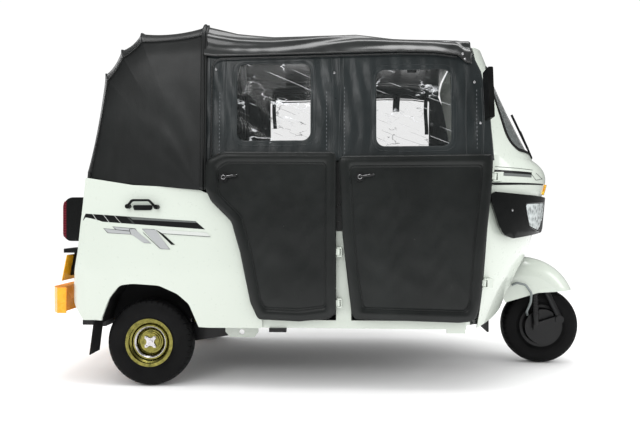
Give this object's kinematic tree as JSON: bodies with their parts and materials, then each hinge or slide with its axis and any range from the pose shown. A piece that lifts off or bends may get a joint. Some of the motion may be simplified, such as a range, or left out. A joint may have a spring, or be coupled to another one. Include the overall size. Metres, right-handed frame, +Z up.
{
  "type": "auto rickshaw",
  "caption": "Covered three-wheeled passenger vehicle with one steered front wheel, soft doors, a folding cloth canopy and a rear engine under a lid.",
  "frame": {"origin": "middle of the overall footprint, on the ground", "axes": "+X forward, +Y to the vehicle's left, +Z up"},
  "size_m": [2.692, 1.516, 1.7458],
  "materials": {
    "body_paint": "gloss",
    "floor_paint": "satin",
    "black_plastic": "satin",
    "rubber": "matte",
    "screen_glass": "gloss",
    "clear_vinyl": "gloss",
    "black_steel": "satin",
    "engine_metal": "rough",
    "bracket_paint": "gloss",
    "plate_paint": "gloss",
    "bumper_plastic": "gloss",
    "lamp_lens": "gloss",
    "amber_lens": "gloss",
    "red_lens": "gloss",
    "canopy_vinyl": "matte",
    "curtain_vinyl": "satin",
    "seat_vinyl": "satin",
    "tyre": "matte",
    "rim_steel": "satin",
    "lock_metal": "polished",
    "door_vinyl": "satin"
  },
  "bodies": {
    "chassis": {"bench_cushions": "seat_vinyl", "canopy_bows": "black_steel", "canopy_rear": "canopy_vinyl", "canopy_roof": "canopy_vinyl", "chassis_frame": "black_steel", "driver_cushions": "seat_vinyl", "engine_block": "engine_metal", "floor_pan": "floor_paint", "front_arch_liner": "black_plastic", "front_cowl": "body_paint", "front_mud_flap": "rubber", "grab_handles": "black_steel", "headlamp_housings": "black_plastic", "headlamp_lenses": "lamp_lens", "hinge_brackets": "black_steel", "indicators": "amber_lens", "instrument_panel": "black_plastic", "lashing_brackets": "bracket_paint", "mirrors": "black_plastic", "number_plate": "plate_paint", "partition": "body_paint", "plate_lamp": "black_plastic", "rear_bumper": "bumper_plastic", "rear_dampers": "black_steel", "rear_mud_flaps": "rubber", "rear_tub": "body_paint", "rear_wheel_housings": "black_plastic", "seat_bases": "black_steel", "side_curtains": "curtain_vinyl", "side_steps": "black_steel", "silencer": "black_steel", "tail_lamp_housings": "black_plastic", "tail_lamp_lenses": "red_lens", "trailing_arms": "black_steel", "window_panes": "clear_vinyl", "windscreen": "screen_glass", "windscreen_frame": "body_paint", "windscreen_rubber": "rubber", "wiper": "black_plastic"},
    "steering": {"fork_stem": "black_steel", "handlebar": "black_steel", "front_fender": "body_paint", "front_damper": "black_steel", "brake_hose": "rubber"},
    "front_wheel": {"front_tyre": "tyre", "front_rim": "rim_steel"},
    "rear_wheel_right": {"rear_right_tyre": "tyre", "rear_right_rim": "rim_steel"},
    "rear_wheel_left": {"rear_left_tyre": "tyre", "rear_left_rim": "rim_steel"},
    "front_door_right": {"front_door_right": "door_vinyl", "front_door_lock_right": "lock_metal"},
    "front_door_left": {"front_door_left": "door_vinyl", "front_door_lock_left": "lock_metal"},
    "rear_door_right": {"rear_door_right": "door_vinyl", "rear_door_lock_right": "lock_metal"},
    "rear_door_left": {"rear_door_left": "door_vinyl", "rear_door_lock_left": "lock_metal"},
    "engine_lid": {"engine_lid": "body_paint"}
  },
  "joints": [
    {"name": "steering_turn", "type": "hinge", "parent": "chassis", "child": "steering", "pos_m": [1.06, 0, 0.4], "axis": [-0.342, 0, 0.9397], "range_deg": [-40, 40]},
    {"name": "front_wheel_spin", "type": "hinge", "parent": "steering", "child": "front_wheel", "pos_m": [1.14, 0, 0.206], "axis": [0, 1, 0], "continuous": true},
    {"name": "rear_wheel_right_spin", "type": "hinge", "parent": "chassis", "child": "rear_wheel_right", "pos_m": [-0.845, -0.575, 0.206], "axis": [0, 1, 0], "continuous": true},
    {"name": "rear_wheel_left_spin", "type": "hinge", "parent": "chassis", "child": "rear_wheel_left", "pos_m": [-0.845, 0.575, 0.206], "axis": [0, 1, 0], "continuous": true},
    {"name": "front_door_right_swing", "type": "hinge", "parent": "chassis", "child": "front_door_right", "pos_m": [0.7167, -0.652, 0.5], "axis": [0.0949, 0, 0.9955], "range_deg": [0, 70]},
    {"name": "rear_door_right_swing", "type": "hinge", "parent": "chassis", "child": "rear_door_right", "pos_m": [0.051, -0.652, 0.5], "axis": [0, 0, 1], "range_deg": [0, 70]},
    {"name": "front_door_left_swing", "type": "hinge", "parent": "chassis", "child": "front_door_left", "pos_m": [0.7167, 0.652, 0.5], "axis": [0.0949, 0, 0.9955], "range_deg": [-70, 0]},
    {"name": "rear_door_left_swing", "type": "hinge", "parent": "chassis", "child": "rear_door_left", "pos_m": [0.051, 0.652, 0.5], "axis": [0, 0, 1], "range_deg": [-70, 0]},
    {"name": "engine_lid_lift", "type": "hinge", "parent": "chassis", "child": "engine_lid", "pos_m": [-1.174, 0, 0.89], "axis": [0, 1, 0], "range_deg": [0, 80]}
  ]
}
